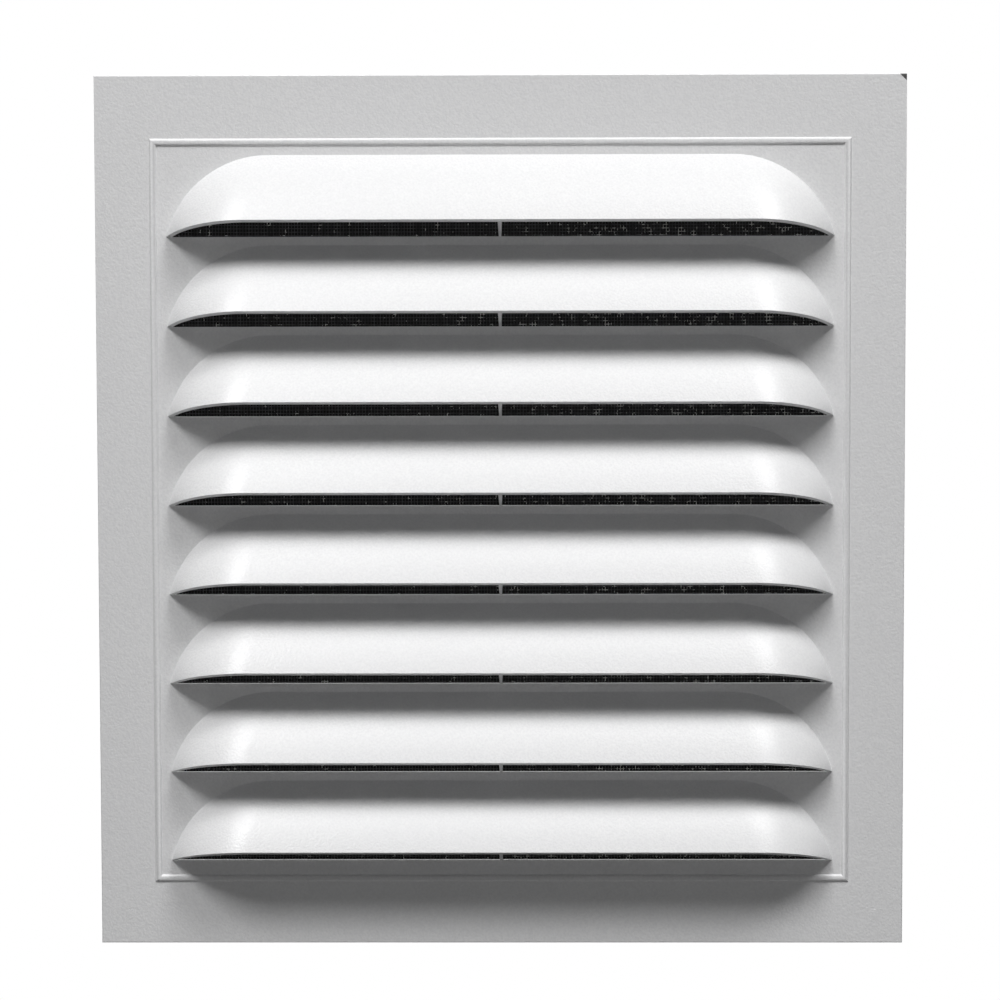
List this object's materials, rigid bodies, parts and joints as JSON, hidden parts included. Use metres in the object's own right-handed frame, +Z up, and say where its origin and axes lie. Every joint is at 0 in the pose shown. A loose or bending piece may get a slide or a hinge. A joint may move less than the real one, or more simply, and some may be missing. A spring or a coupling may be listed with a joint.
{
  "type": "gable vent",
  "caption": "Rectangular louvred gable vent with curved hooded slots, a framing bead, a rear collar and an insect screen behind.",
  "frame": {"origin": "centre of the wall opening, in the plane of the flange's back", "axes": "+Z up, +X to the right seen from outside, -Y out of the wall, the way the louvres face"},
  "size_m": [0.375, 0.0425, 0.4044],
  "materials": {
    "moulded_polypropylene": "injection moulded, fine matte grain, near white",
    "coated_glass_fibre": "woven plastic-coated glass fibre yarn, charcoal"
  },
  "bodies": {
    "root": {"vent_body": "moulded_polypropylene", "insect_screen": "coated_glass_fibre"}
  },
  "joints": []
}
